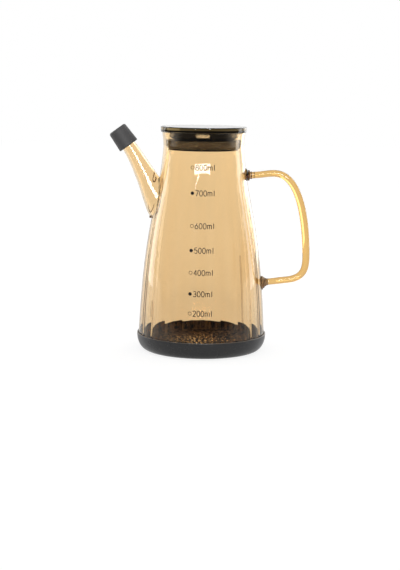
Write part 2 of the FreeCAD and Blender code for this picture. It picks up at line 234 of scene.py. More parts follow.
def make_rubbed():
    """Roughness that wanders between two values, with faint wipe marks."""
    group, given, out = new_group(
        "rubbed", [("Smooth", 0.02), ("Rough", 0.08), ("Patch scale", 35.0)],
        ["Roughness", "Patch"])
    patch = noise_field(group, place(group), given.outputs["Patch scale"], 5.0)
    patch.node.inputs["Roughness"].default_value = 0.6
    above = math_node(group, "SUBTRACT", patch, RUBBED_FROM)
    share = math_node(group, "SMOOTH_MIN", above, RUBBED_SPAN, 0.1)
    share = math_node(group, "MAXIMUM", math_node(group, "MULTIPLY", share, RUBBED_GAIN), 0.0)
    spread = math_node(group, "SUBTRACT", given.outputs["Rough"], given.outputs["Smooth"])
    rough = math_node(group, "MULTIPLY_ADD", share, spread, given.outputs["Smooth"])
    group.links.new(rough, out.inputs["Roughness"])
    group.links.new(patch, out.inputs["Patch"])
    return group


rubbed = make_rubbed()
print("group", rubbed.name, "is ready")

# %% Thin upright lines in the glass
def make_upright_line():
    """Mask of one thin line on the wall at an azimuth from the front, between two heights."""
    group, given, out = new_group(
        "upright_line", [("Azimuth", 0.0), ("Half width", 0.006), ("Foot", 0.0), ("Top", 0.1),
                         ("Wander", 0.02)], ["Line"])
    x, y, z = place_parts(group)
    drift = group.nodes.new("ShaderNodeTexNoise")
    drift.noise_dimensions = "1D"
    drift.inputs["Scale"].default_value = 45.0
    group.links.new(z, drift.inputs["W"])
    angle = math_node(group, "ARCTAN2", x, math_node(group, "MULTIPLY", y, -1.0))
    sway = math_node(group, "MULTIPLY", math_node(group, "SUBTRACT", drift.outputs["Fac"], 0.5),
                     given.outputs["Wander"])
    off = math_node(group, "SUBTRACT", math_node(group, "ADD", angle, sway),
                    given.outputs["Azimuth"])
    aside = math_node(group, "DIVIDE", math_node(group, "ABSOLUTE", off),
                      given.outputs["Half width"])
    across = math_node(group, "MAXIMUM", math_node(group, "SUBTRACT", 1.0, aside), 0.0)
    above = math_node(group, "GREATER_THAN", z, given.outputs["Foot"])
    below = math_node(group, "LESS_THAN", z, given.outputs["Top"])
    line = math_node(group, "MULTIPLY", math_node(group, "MULTIPLY", above, below), across)
    group.links.new(line, out.inputs["Line"])
    return group


upright_line = make_upright_line()
print("group", upright_line.name, "is ready")

# %% [markdown]
# ## Amber glass
# Thin amber glass looks honey yellow, a rod of it is deeper along its middle, and the wall grows a
# little darker towards its foot. Absorption inside the solid could give the depth of colour, but
# it also turns every edge orange, and the edges of this pot are pale. So most of the tint sits on
# the surface, where it turns pale at grazing angles as a painted reflection of the white room, and
# a slight absorption inside adds the rest.

# %% Start and dress a material
GLASS_IOR = 1.47


def start(name):
    """New material with its nodes, and its Principled shader."""
    material = bpy.data.materials.new(name)
    material.use_nodes = True
    return material, material.node_tree, material.node_tree.nodes["Principled BSDF"]


def dress(tree, shader, colour, roughness):
    """Give a shader its colour and its roughness."""
    feed(tree, colour, shader.inputs["Base Color"])
    feed(tree, roughness, shader.inputs["Roughness"])


def bump(tree, height, shader, strength, distance):
    """Feed a height to a shader's normal through a Bump node."""
    node = tree.nodes.new("ShaderNodeBump")
    node.inputs["Strength"].default_value = strength
    node.inputs["Distance"].default_value = distance
    tree.links.new(height, node.inputs["Height"])
    tree.links.new(node.outputs["Normal"], shader.inputs["Normal"])


def clear_glass(shader, share=1.0):
    """Make a shader let light through like glass, by a share."""
    shader.inputs["IOR"].default_value = GLASS_IOR
    shader.inputs["Transmission Weight"].default_value = share


def depth_colour(tree, per_metre):
    """Absorb light inside the solid, given what each colour loses in a metre."""
    inside = tree.nodes.new("ShaderNodeVolumeAbsorption")
    density = max(per_metre)
    inside.inputs["Color"].default_value = (*(1 - loss / density for loss in per_metre), 1.0)
    inside.inputs["Density"].default_value = density
    tree.links.new(inside.outputs[0], tree.nodes["Material Output"].inputs["Volume"])


print("glass bends light by", GLASS_IOR)

# %% Where the jug's glass is handle, foot or top, and how squarely it is seen
CONE_RADIUS, CONE_SLOPE = 0.0540, -0.125  # the wall outside, in metres: radius at z = 0, and taper
HANDLE_FADE, HANDLE_FROM_X = 0.003, 0.03
FOOT_Z, TOP_Z, STREAK_SHARE = 0.035, 0.165, 0.5
# Between these two facings the wall's tint turns pale: a painted reflection of the white room.
REFLECTION_PAINT_FROM, REFLECTION_PAINT_FULL = 0.28, 0.62


def handle_mask(tree):
    """1 on the handle, 0 on the wall: how far a point lies outside the cone of the wall."""
    x, y, z = place_parts(tree)
    squares = [math_node(tree, "POWER", side, 2.0) for side in (x, y)]
    out_from_axis = math_node(tree, "SQRT", math_node(tree, "ADD", *squares))
    cone = math_node(tree, "MULTIPLY_ADD", z, CONE_SLOPE, CONE_RADIUS)
    outside = math_node(tree, "DIVIDE", math_node(tree, "SUBTRACT", out_from_axis, cone),
                        HANDLE_FADE)
    mask = math_node(tree, "MULTIPLY", outside, math_node(tree, "GREATER_THAN", x, HANDLE_FROM_X))
    mask.node.use_clamp = True
    return mask


def facing(tree):
    """0 where a surface is seen squarely, 1 where it is seen edge on."""
    node = tree.nodes.new("ShaderNodeLayerWeight")
    node.inputs["Blend"].default_value = 0.5
    return node.outputs["Facing"]


def height_share(tree, streak):
    """0 at the foot of the wall and 1 at its top, wandering with the streaks."""
    climb = step_up(tree, place_parts(tree)[2], FOOT_Z, TOP_Z, "LINEAR")
    wander = math_node(tree, "MULTIPLY_ADD", streak, STREAK_SHARE, -STREAK_SHARE / 2)
    share = math_node(tree, "ADD", climb, wander)
    share.node.use_clamp = True
    return share


print("the tint changes between", FOOT_Z, "and", TOP_Z, "m")

# %% Colour of the handle's rod
ROD_SHADES = ((0.0, (0.84, 0.61, 0.29, 1.0)), (0.38, (0.72, 0.46, 0.17, 1.0)),
              (0.62, (0.86, 0.66, 0.36, 1.0)), (1.0, (0.96, 0.86, 0.66, 1.0)))


def rod_colour(tree):
    """A solid rod has a bright middle between two deeper lines, and pale edges."""
    rod = tree.nodes.new("ShaderNodeValToRGB")
    shades = rod.color_ramp.elements
    shades[0].color, shades[1].color = ROD_SHADES[0][1], ROD_SHADES[-1][1]
    for share, colour in ROD_SHADES[1:-1]:
        shades.new(share).color = colour
    tree.links.new(facing(tree), rod.inputs["Fac"])
    return rod.outputs["Color"]


print("the rod has", len(ROD_SHADES), "shades")

# %% The jug's glass
AMBER_LOSS = (6.0, 30.0, 75.0)
FOOT_TINT, TOP_TINT = (0.870, 0.750, 0.580, 1.0), (0.985, 0.850, 0.645, 1.0)
# The first colour on the next line is the pale tint of a painted reflection on the wall's edges.
PAINTED_EDGE_REFLECTION, LINE_TINT = (0.980, 0.930, 0.840, 1.0), (0.20, 0.12, 0.06, 1.0)
# Two lines in the wall: azimuth in degrees, half width in radians, foot, top, wander.
WALL_LINES = ((41.0, 0.010, 0.018, 0.080, 0.03), (-54.0, 0.012, 0.030, 0.043, 0.02))


def make_amber_glass():
    """Thin amber glass, tinted at its surface, with a painted reflection paling its edges and a rod
    of deeper glass for the handle.
    """
    material, tree, shader = start("amber_glass")
    clear_glass(shader)
    depth_colour(tree, AMBER_LOSS)
    ripple = place_group(material, drawn_glass, Streaks_per_metre=170.0, Stretch=0.05,
                         Wave_scale=28.0, Wave_share=0.6)
    wiped = place_group(material, rubbed, Smooth=0.0, Rough=0.02, Patch_scale=22.0)
    lines = [place_group(material, upright_line, Azimuth=math.radians(azimuth), Half_width=half,
                         Foot=foot, Top=top, Wander=wander).outputs["Line"]
             for azimuth, half, foot, top, wander in WALL_LINES]
    wall = mixed(tree, height_share(tree, ripple.outputs["Streak"]), FOOT_TINT, TOP_TINT)
    # Painted reflection: where the wall is seen edge on, its tint turns pale as if it mirrored
    # white.
    painted_reflection_share = step_up(tree, facing(tree), REFLECTION_PAINT_FROM, REFLECTION_PAINT_FULL)
    wall = mixed(tree, painted_reflection_share, wall, PAINTED_EDGE_REFLECTION)
    with_rod = mixed(tree, handle_mask(tree), wall, rod_colour(tree))
    drawn = mixed(tree, math_node(tree, "MAXIMUM", *lines), with_rod, LINE_TINT)
    dress(tree, shader, drawn, wiped.outputs["Roughness"])
    bump(tree, ripple.outputs["Height"], shader, 0.08, 0.0006)
    return material


amber_glass = make_amber_glass()
print("material", amber_glass.name, "absorbs", AMBER_LOSS, "per metre")

# %% The lid's smoky glass
LID_LOSS = (38.0, 43.0, 56.0)
LID_TINTS = ((0.97, 0.95, 0.90, 1.0), (0.94, 0.90, 0.82, 1.0))


def make_lid_glass():
    """Smoky glass whose colour lies inside it."""
    material, tree, shader = start("lid_glass")
    clear_glass(shader)
    depth_colour(tree, LID_LOSS)
    ripple = place_group(material, drawn_glass, Streaks_per_metre=90.0, Stretch=1.0,
                         Wave_scale=20.0, Wave_share=0.6)
    wiped = place_group(material, rubbed, Smooth=0.0, Rough=0.03, Patch_scale=30.0)
    dress(tree, shader, mixed(tree, ripple.outputs["Streak"], *LID_TINTS),
          wiped.outputs["Roughness"])
    bump(tree, ripple.outputs["Height"], shader, 0.05, 0.0005)
    return material


lid_glass = make_lid_glass()
print("material", lid_glass.name, "absorbs", LID_LOSS, "per metre")

# %% [markdown]
# ## Silicone and plastic
# The sleeve, the cap and the ring are silicone: matt, a little cloudy, and good at catching dust.
# The plug under the lid is hard black plastic with a polished surface. All four could share one
# grey shader, but their gloss is what tells them apart, so each has its own roughness and skin.

# %% Silicone
DUST_TONE, RIM_HIGHLIGHT_TONE = tone(118, 117, 115), tone(128, 120, 110)
DUST_SHARE, ROUGH_SPREAD = 0.5, 0.08
# Strength of the painted highlight on a rim: how much it follows the cloud, and its least share.
RIM_HIGHLIGHT_BY_CLOUD, RIM_HIGHLIGHT_LEAST = 0.8, 0.35
SLEEVE_RIM = 0.0132  # metres; above this the sleeve's rim is painted pale, a painted highlight on its top


def painted_rim_highlight(tree, colour, cloud, rim):
    """Colour that turns pale above a height, more where the skin is cloudy: a painted highlight."""
    above = math_node(tree, "GREATER_THAN", place_parts(tree)[2], rim)
    patchy = math_node(tree, "MULTIPLY_ADD", cloud, RIM_HIGHLIGHT_BY_CLOUD, RIM_HIGHLIGHT_LEAST)
    share = math_node(tree, "MULTIPLY", above, patchy)
    return mixed(tree, share, colour, RIM_HIGHLIGHT_TONE)


def make_silicone(name, dark, pale, rough, grain, rim=None):
    """Matt silicone that wanders between two tones, with a fine skin and specks of dust. Above
    the height of a rim in metres it is painted pale, as a painted highlight on the rim."""
    material, tree, shader = start(name)
    shader.inputs["Specular IOR Level"].default_value = 0.42
    skin = place_group(material, silicone_skin, Cloud_scale=55.0, Grain_scale=2600.0,
                       Dust_scale=1500.0)
    patchy = place_group(material, rubbed, Smooth=rough - ROUGH_SPREAD, Rough=rough + ROUGH_SPREAD,
                       Patch_scale=40.0)
    colour = mixed(tree, skin.outputs["Cloud"], dark, pale)
    dust = math_node(tree, "MULTIPLY", skin.outputs["Dust"], DUST_SHARE)
    colour = mixed(tree, dust, colour, DUST_TONE)
    if rim is not None:
        colour = painted_rim_highlight(tree, colour, skin.outputs["Cloud"], rim)
    dress(tree, shader, colour, patchy.outputs["Roughness"])
    bump(tree, skin.outputs["Height"], shader, grain, 0.00004)
    return material


# The sleeve's rim carries a painted highlight above SLEEVE_RIM.
sleeve_silicone = make_silicone("sleeve_silicone", tone(54, 54, 55), tone(64, 63, 64), 0.30, 0.5,
                                SLEEVE_RIM)
cap_silicone = make_silicone("cap_silicone", tone(96, 95, 95), tone(112, 111, 111), 0.6, 0.6)
ring_silicone = make_silicone("ring_silicone", tone(70, 66, 60), tone(84, 80, 73), 0.4, 0.3)
print("silicone finishes:", sleeve_silicone.name, cap_silicone.name, ring_silicone.name)

# %% Polished black plastic
def make_plug_plastic():
    """Black plastic, polished but wiped, with the slow waves of a moulding."""
    material, tree, shader = start("plug_plastic")
    wiped = place_group(material, rubbed, Smooth=0.05, Rough=0.16, Patch_scale=60.0)
    mould = place_group(material, drawn_glass, Streaks_per_metre=60.0, Stretch=1.0,
                        Wave_scale=40.0, Wave_share=0.4)
    black = mixed(tree, wiped.outputs["Patch"], tone(8, 8, 9), tone(16, 15, 15))
    dress(tree, shader, black, wiped.outputs["Roughness"])
    bump(tree, mould.outputs["Height"], shader, 0.04, 0.0004)
    return material


plug_plastic = make_plug_plastic()
print("material", plug_plastic.name)

# %% Give each solid its finish
FINISHES = {"glass_jug": amber_glass, "lid_disc": lid_glass, "base_sleeve": sleeve_silicone,
            "spout_cap": cap_silicone, "lid_plug": plug_plastic, "lid_gasket": ring_silicone}
for node, material in FINISHES.items():
    pot[node].data.materials.clear()
    pot[node].data.materials.append(material)
print("finishes set on", len(FINISHES), "solids")

# %% [markdown]
# ## Printed scale
# The front of the jug carries a plain scale: dots and rings with the contents in millilitres,
# screen printed in dark brown ink with thin, even lines. It could be painted by a texture, but the
# lines are finer than a texture would keep sharp. Each figure is drawn as a few strokes instead,
# every stroke is a thin ribbon of ink, and each point of it is laid on the glass.

# %% Find the glass behind a point of the scale
jug_tree = BVHTree.FromObject(pot["glass_jug"], bpy.context.evaluated_depsgraph_get())
IN_FRONT = -0.2  # metres; a ray to the wall starts well in front of the pot


def on_glass(x, z, proud):
    """Point on the front of the wall at x, z in millimetres, standing proud of the glass."""
    spot, normal, _, _ = jug_tree.ray_cast(Vector((x * MM, IN_FRONT, z * MM)), Vector((0, 1, 0)))
    return spot + normal * proud * MM


print("the wall at mid height is", round(-1000 * on_glass(0, 100, 0).y, 1), "mm out from the axis")

# %% Strokes of the figures
def bow(cx, cy, rx, ry, first, last, steps=14):
    """Points along part of an ellipse, angles in degrees, anticlockwise from the right."""
    turns = [math.radians(first + (last - first) * k / steps) for k in range(steps + 1)]
    return [(cx + rx * math.cos(a), cy + ry * math.sin(a)) for a in turns]


FIGURES = {  # strokes in a box one unit high; widths are set by the strokes themselves
    "0": [bow(0.29, 0.5, 0.27, 0.5, 0, 360, 28)],
    "2": [bow(0.29, 0.73, 0.26, 0.27, 165, -30) + [(0.03, 0.0), (0.57, 0.0)]],
    "3": [bow(0.28, 0.75, 0.23, 0.25, 150, -90), bow(0.28, 0.26, 0.27, 0.26, 90, -150)],
    "4": [[(0.44, 0.0), (0.44, 1.0), (0.02, 0.3), (0.6, 0.3)]],
    "5": [[(0.53, 1.0), (0.12, 1.0), (0.07, 0.52)] + bow(0.28, 0.32, 0.27, 0.32, 125, -150)],
    "6": [[(0.42, 1.0), (0.09, 0.5)] + bow(0.29, 0.31, 0.26, 0.31, 150, -210, 26)],
    "7": [[(0.03, 1.0), (0.57, 1.0), (0.2, 0.0)]],
    "8": [bow(0.29, 0.76, 0.22, 0.24, 0, 360, 24), bow(0.29, 0.27, 0.27, 0.27, 0, 360, 26)],
    "m": [[(0.05, 0.0), (0.05, 0.7)],
          bow(0.235, 0.5, 0.185, 0.2, 180, 0) + [(0.42, 0.0)],
          bow(0.605, 0.5, 0.185, 0.2, 180, 0) + [(0.79, 0.0)]],
    "l": [[(0.05, 0.0), (0.05, 1.0)]],
}
WIDTHS = {"m": 0.97, "l": 0.12}
print("figures drawn:", " ".join(FIGURES))

# %% Lay a stroke on the wall as a ribbon of ink
INK_PROUD, INK_DEPTH = 0.05, 0.04


def ribbon(shape, points, width):
    """Ribbon with a top and sides along points (x, z) in millimetres."""
    rows = []
    for k, (x, z) in enumerate(points):
        before, after = points[max(k - 1, 0)], points[min(k + 1, len(points) - 1)]
        dx, dz = after[0] - before[0], after[1] - before[1]
        length = math.hypot(dx, dz) or 1.0
        ox, oz = -dz / length * width / 2, dx / length * width / 2
        rows.append([shape.verts.new(on_glass(x + s * ox, z + s * oz, h))
                     for s, h in ((-1, -INK_DEPTH), (-1, INK_PROUD), (1, INK_PROUD),
                                  (1, -INK_DEPTH))])
    for a, b in zip(rows, rows[1:]):
        for i in range(4):
            shape.faces.new((a[i], a[(i + 1) % 4], b[(i + 1) % 4], b[i]))
    shape.faces.new(rows[0])
    shape.faces.new(reversed(rows[-1]))


def refined(points, step):
    """The same line with points no further apart than a step."""
    out = [points[0]]
    for a, b in zip(points, points[1:]):
        count = max(1, math.ceil(math.hypot(b[0] - a[0], b[1] - a[1]) / step))
        out += [(a[0] + (b[0] - a[0]) * k / count, a[1] + (b[1] - a[1]) * k / count)
                for k in range(1, count + 1)]
    return out


print("ink stands", INK_PROUD, "mm proud of the glass")

# %% Ink
def make_ink():
    """Dark brown ink, matt where it is rubbed."""
    material, tree, shader = start("scale_ink")
    shader.inputs["Specular IOR Level"].default_value = 0.2
    patchy = place_group(material, rubbed, Smooth=0.35, Rough=0.6, Patch_scale=400.0)
    brown = mixed(tree, patchy.outputs["Patch"], tone(24, 17, 12), tone(44, 32, 22))
    dress(tree, shader, brown, patchy.outputs["Roughness"])
    return material


scale_ink = make_ink()
print("material", scale_ink.name)

# %% Print the scale
# Contents in millilitres, and the place of its mark on the front of the wall in millimetres.
SCALE = ((800, -8.3, 147.7), (700, -8.2, 128.2), (600, -8.25, 103.4), (500, -8.55, 84.8),
         (400, -8.8, 67.9), (300, -9.0, 51.6), (200, -9.1, 36.5))
FIGURE_HIGH, FIGURE_GAP, FIGURE_WIDE, STROKE, STEP = 4.2, 0.7125, 0.58, 0.56, 1.0
DOT_R, DOME, RING_R, RING_STROKE, TEXT_OFFSET = 1.35, 0.02, 1.25, 0.32, 2.3


def write(shape, text, x, z):
    """Lay a word on the wall, from its lower left corner."""
    for letter in text:
        for stroke in FIGURES[letter]:
            points = [(x + FIGURE_HIGH * a, z + FIGURE_HIGH * b) for a, b in stroke]
            ribbon(shape, refined(points, STEP), STROKE)
        x += FIGURE_HIGH * WIDTHS.get(letter, FIGURE_WIDE) + FIGURE_GAP
    return x


def dot(shape, x, z, radius):
    """Filled dot, domed very slightly like thick ink."""
    rings = []
    for share, proud in ((1.0, -INK_DEPTH), (1.0, INK_PROUD), (0.6, INK_PROUD + DOME)):
        rings.append([shape.verts.new(on_glass(x + px, z + pz, proud))
                      for px, pz in bow(0, 0, radius * share, radius * share, 0, 345, 23)])
    for low, high in zip(rings, rings[1:]):
        for i in range(len(low)):
            j = (i + 1) % len(low)
            shape.faces.new((low[i], low[j], high[j], high[i]))
    shape.faces.new(rings[-1])


ink = bmesh.new()
for amount, x, z in SCALE:
    if (amount // 100) % 2:
        dot(ink, x, z, DOT_R)
    else:
        ribbon(ink, bow(x, z, RING_R, RING_R, 0, 360, 24), RING_STROKE)
    end = write(ink, f"{amount}ml", x + TEXT_OFFSET, z - FIGURE_HIGH / 2)
piece_from("printed_scale", ink, scale_ink)
print("the words are", round(end - SCALE[-1][1] - TEXT_OFFSET, 1), "mm long")

# %% [markdown]
# ## Plug under the lid
# The plug is a black spool. Its upper edge is a polished band that tips up a little, and that is
# why it catches the window while the rest of the plug stays black. The construction model has an
# upright band there. A band this small could be faked by bump, but then it would be missing from
# the outline, so the plug is turned again from its profile, like a part on a lathe.

# %% Turn a profile about the upright axis
def turned(shape, profile, steps=96):
    """Surface of revolution from (radius, height) in millimetres, closed on the axis."""
    turns = [2 * math.pi * k / steps for k in range(steps)]
    rows = []
    for radius, height in profile:
        spots = [(0.0, 0.0)] if radius == 0 else [
            (radius * math.cos(a) * MM, radius * math.sin(a) * MM) for a in turns]
        rows.append([shape.verts.new((x, y, height * MM)) for x, y in spots])
    for low, high in zip(rows, rows[1:]):
        for i in range(steps):
            j = (i + 1) % steps
            if len(low) == 1:
                shape.faces.new((low[0], high[j], high[i]))
            elif len(high) == 1:
                shape.faces.new((low[i], low[j], high[0]))
            else:
                shape.faces.new((low[i], low[j], high[j], high[i]))


PLUG_PROFILE = ((0, 173.5), (26.5, 173.5), (26.9, 173.3), (27.28, 170.1), (27.15, 169.8),
                (26.2, 169.3), (25.0, 168.5), (23.8, 167.7), (22.9, 166.9), (22.8, 165.0),
                (22.8, 160.7), (27.9, 160.7), (28.0, 160.6), (28.0, 159.8), (27.9, 159.7),
                (0, 159.7))
BAND_CREASE = 18.0  # degrees; the band keeps its edges, or its highlight would melt away
spool = bmesh.new()
turned(spool, PLUG_PROFILE)
plug = piece_from("lid_plug_turned", spool, plug_plastic, crease=BAND_CREASE)
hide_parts("lid_plug")
band_out, band_high = (abs(b - a) for a, b in zip(PLUG_PROFILE[2], PLUG_PROFILE[3]))
print("the band tips up by", round(math.degrees(math.atan2(band_out, band_high)), 1), "degrees")

# %% [markdown]
# ## Fused glass
# Spout and handle were melted onto the wall by hand. Each joint keeps a trace of that: rings of
# thick glass where the handle's ends were pressed on, a small curl in the crook of the spout, and
# a bead and a fold at the spout's foot. They could be carved out of the jug's own mesh, which
# must stay as it is. They are added as thin beads that lie on the glass, half sunk into it.

# %% Thick glass of the joints
def make_joint_glass(name, dark, pale):
    """Thick amber glass that wanders between two tones."""
    material, tree, shader = start(name)
    clear_glass(shader, share=0.45)
    ripple = place_group(material, drawn_glass, Streaks_per_metre=500.0, Stretch=1.0,
                         Wave_scale=300.0, Wave_share=0.5)
    wiped = place_group(material, rubbed, Smooth=0.02, Rough=0.12, Patch_scale=200.0)
    dress(tree, shader, mixed(tree, ripple.outputs["Streak"], dark, pale),
          wiped.outputs["Roughness"])
    bump(tree, ripple.outputs["Height"], shader, 0.15, 0.0003)
    return material


joint_glass = make_joint_glass("joint_glass", tone(112, 68, 30), tone(206, 160, 98))
pale_joint = make_joint_glass("pale_joint_glass", tone(190, 142, 86), tone(250, 226, 184))
print("materials", joint_glass.name, "and", pale_joint.name)

# %% A bead of glass along a line
BEAD_SIDES = 8
RING_START = 0.0058  # metres from the handle's middle, outside the rod but clear of the wall
RING_WOBBLE = 0.2  # share by which a ring, squeezed by hand, is thicker or thinner


def bead(shape, points, radii, across, closed=False):
    """Round bead along points in metres, with a radius in millimetres at each point."""
    count, rings = len(points), []
    for k, here in enumerate(points):
        before = points[k - 1] if closed or k else here
        after = points[(k + 1) % count] if closed or k + 1 < count else here
        along = (after - before).normalized()
        one = (across - along * across.dot(along)).normalized()
        two = along.cross(one)
        turns = [2 * math.pi * i / BEAD_SIDES for i in range(BEAD_SIDES)]
        rings.append([shape.verts.new(here + (one * math.cos(a) + two * math.sin(a))
                                      * radii[k] * MM) for a in turns])
    pairs = list(zip(rings, rings[1:])) + ([(rings[-1], rings[0])] if closed else [])
    for low, high in pairs:
        for i in range(BEAD_SIDES):
            j = (i + 1) % BEAD_SIDES
            shape.faces.new((low[i], low[j], high[j], high[i]))
    if not closed:
        shape.faces.new(rings[0])
        shape.faces.new(reversed(rings[-1]))


def ring_on_handle(shape, x, z, thick, steps=40):
    """Ring of glass round the handle's end at x, z in millimetres, seated on its surface."""
    middle, points, radii = Vector((x * MM, 0, z * MM)), [], []
    for k in range(steps):
        a = 2 * math.pi * k / steps
        out = Vector((0, math.cos(a), math.sin(a)))
        spot, _, _, _ = jug_tree.ray_cast(middle + out * RING_START, -out)
        points.append(spot)
        radii.append(thick * (1 + RING_WOBBLE * math.sin(2 * a + x)))
    bead(shape, points, radii, Vector((1, 0, 0)), closed=True)


print("beads have", BEAD_SIDES, "sides")

# %% Rings where the handle joins
# Each ring: its place on the handle's axis, x and z, and how thick it is, in millimetres.
UPPER_RINGS = ((36.2, 139.8, 0.60), (38.2, 139.8, 0.42), (40.3, 139.8, 0.25))
LOWER_RINGS = ((48.2, 54.3, 0.85), (49.6, 54.5, 0.75), (51.0, 54.7, 0.62), (52.4, 54.9, 0.45))
for name, rings, glass in (("upper_joint", UPPER_RINGS, joint_glass),
                           ("lower_joint", LOWER_RINGS, pale_joint)):
    joint = bmesh.new()
    for x, z, thick in rings:
        ring_on_handle(joint, x, z, thick)
    piece_from(name, joint, glass)

# %% Curl, bead and fold of the spout
# Points x, z on the front of the wall, and the bead's radius at each, in millimetres.
CURL = ((-39.0, 142.4), (-38.7, 140.4), (-39.3, 138.2), (-39.7, 136.4), (-39.2, 134.6),
        (-38.3, 134.2), (-37.6, 135.5), (-37.2, 137.2), (-37.8, 138.2))
CURL_R = (0.2, 0.55, 0.3, 0.3, 0.6, 0.45, 0.45, 0.6, 0.2)
FOLD = ((-43.0, 116.5), (-42.8, 113.5), (-42.2, 111.0), (-41.4, 110.2), (-40.4, 111.4),
        (-39.2, 114.0), (-38.2, 117.5))
FOLD_R = (0.1, 0.25, 0.35, 0.45, 0.35, 0.3, 0.1)
BLOB_AT, BLOB_RISE = Vector((-0.0415, -0.0030, 0.1062)), (-1.0, -0.6, 0.0, 0.7, 1.2)
BLOB_R = (0.3, 0.85, 1.05, 0.8, 0.2)
crook = bmesh.new()
for line, radii in ((CURL, CURL_R), (FOLD, FOLD_R)):
    bead(crook, [on_glass(x, z, 0.0) for x, z in line], radii, Vector((0, 1, 0)))
bead(crook, [BLOB_AT + Vector((0, 0, h * MM)) for h in BLOB_RISE], BLOB_R, Vector((0, 1, 0)))
piece_from("spout_joint", crook, joint_glass)

# %% [markdown]
# ## Thick bottom
# The bottom of the jug is thick and wavy. Seen at a low angle it mirrors the dark sleeve, so it
# looks almost black, and a small bright fleck shows wherever a wave tips far enough to catch the
# light. Clear glass over the sleeve would need a great many light paths to show that. A shallow
# wavy bowl is laid on the inside instead: as dark as what the real bottom mirrors, with flecks.

# %% Lay the bowl on the inside of the bottom
CAST_FROM = 0.0140  # metres above the table: over the bottom, and low in the jug
FLUTES, FACET_FROM, FACET_OVER, FACET_DEEP = 20, 30.0, 18.0, 0.16
SWELL, RIPPLE = (0.22, 0.16), (0.10, 0.45)  # height in millimetres, and how close together
BOWL_CLEAR = 0.30  # millimetres that the bowl stands over the glass on average
RADIUS_STEP, EDGE_RADII = 2.4, [42.4, 43.8, 45.0, 46.0, 46.8, 47.4, 47.9, 48.2]
BOTTOM_RADII = [RADIUS_STEP * k for k in range(1, 18)] + EDGE_RADII
AROUND = 160


def on_bottom(radius, angle, proud):
    """Point on the inside of the bottom at a radius in millimetres, standing proud of it."""
    above = Vector((radius * math.cos(angle) * MM, radius * math.sin(angle) * MM, CAST_FROM))
    spot, normal, _, _ = jug_tree.ray_cast(above, Vector((0, 0, -1)))
    return spot + normal * proud * MM


def wave(radius, angle):
    """Height of the ripples in millimetres: facets round the edge, slow swells in the middle."""
    spot = Vector((radius * math.cos(angle), radius * math.sin(angle), 0.0))
    facet = max(0.0, radius - FACET_FROM) / FACET_OVER * FACET_DEEP * math.cos(FLUTES * angle)
    swells = sum(high * noise.noise(spot * close) for high, close in (SWELL, RIPPLE))
    return BOWL_CLEAR + facet + swells


bowl = bmesh.new()
angles = [2 * math.pi * k / AROUND for k in range(AROUND)]
rows = [[bowl.verts.new(on_bottom(r, a, wave(r, a))) for a in angles] for r in BOTTOM_RADII]
bowl.faces.new(rows[0])
for low, high in zip(rows, rows[1:]):
    for i in range(AROUND):
        j = (i + 1) % AROUND
        bowl.faces.new((low[i], low[j], high[j], high[i]))
print("the bowl climbs to", round(1000 * max(v.co.z for v in bowl.verts), 1), "mm")

# %% Painted reflection of the sleeve, with painted glints
FLECK_HUB, FLECK_FALL, FLECK_LIFT, FLECK_ABOVE = (-0.004, -0.004, 0.008), -3.8, 0.08, 0.625
# The gold of the painted glints, and the two tones of the painted reflection of the sleeve.
PAINTED_GLINT_TONE, MIRRORED_SLEEVE_TONES = tone(246, 218, 168), (tone(8, 5, 2), tone(84, 62, 36))
FLECK_ROUGH, DARK_ROUGH, FLECKS_PER_METRE = 0.15, 0.40, 380.0
STREAK_GAIN, STREAK_SHIFT = 4.0, -1.5  # spread the middle of the streaks over the whole range


def make_painted_bottom_reflection():
    """Painted reflection of the dark sleeve, streaked like drawn glass, with painted glints: gold
    metallic flecks that also mirror the room, thinning out away from a hub.
    """
    material, tree, shader = start("painted_bottom_reflection")
    shader.inputs["Specular IOR Level"].default_value = 0.0
    ripple = place_group(material, drawn_glass, Streaks_per_metre=240.0, Stretch=0.25,
                         Wave_scale=120.0, Wave_share=0.5)
    contrast = math_node(tree, "MULTIPLY_ADD", ripple.outputs["Streak"], STREAK_GAIN,
                         STREAK_SHIFT)
    contrast.node.use_clamp = True
    # Painted reflection: the bowl is as dark as the sleeve that the real bottom mirrors.
    dark = mixed(tree, contrast, *MIRRORED_SLEEVE_TONES)
    away = tree.nodes.new("ShaderNodeVectorMath")
    away.operation = "DISTANCE"
    away.inputs[1].default_value = FLECK_HUB
    tree.links.new(place(tree), away.inputs[0])
    grain = noise_field(tree, place(tree), FLECKS_PER_METRE, 2.0)
    closer = math_node(tree, "MULTIPLY_ADD", away.outputs["Value"], FLECK_FALL, FLECK_LIFT)
    # Painted glints: gold flecks, metallic so that they also mirror the room and the lamps.
    glint_fleck = math_node(tree, "GREATER_THAN", math_node(tree, "ADD", grain, closer), FLECK_ABOVE)
    roughness = math_node(tree, "MULTIPLY_ADD", glint_fleck, FLECK_ROUGH - DARK_ROUGH, DARK_ROUGH)
    dress(tree, shader, mixed(tree, glint_fleck, dark, PAINTED_GLINT_TONE), roughness)
    tree.links.new(glint_fleck, shader.inputs["Metallic"])
    bump(tree, grain, shader, 0.6, 0.0008)
    return material


painted_bottom_reflection = make_painted_bottom_reflection()
piece_from("jug_bottom", bowl, painted_bottom_reflection)

# %% [markdown]
# ## Surroundings
# The pot is shown on a pale floor in front of white. Glass has almost no colour of its own at its
# edges, so what surrounds it matters more than its shader. It could stand in plain white on every
# side, but that would wash its edges out. As in a studio, the white lies behind and at the sides,
# and the room in front is dim. The dim room and the dark floor in front of the pot are seen only
# in reflections: what lies straight behind the glass stays white.

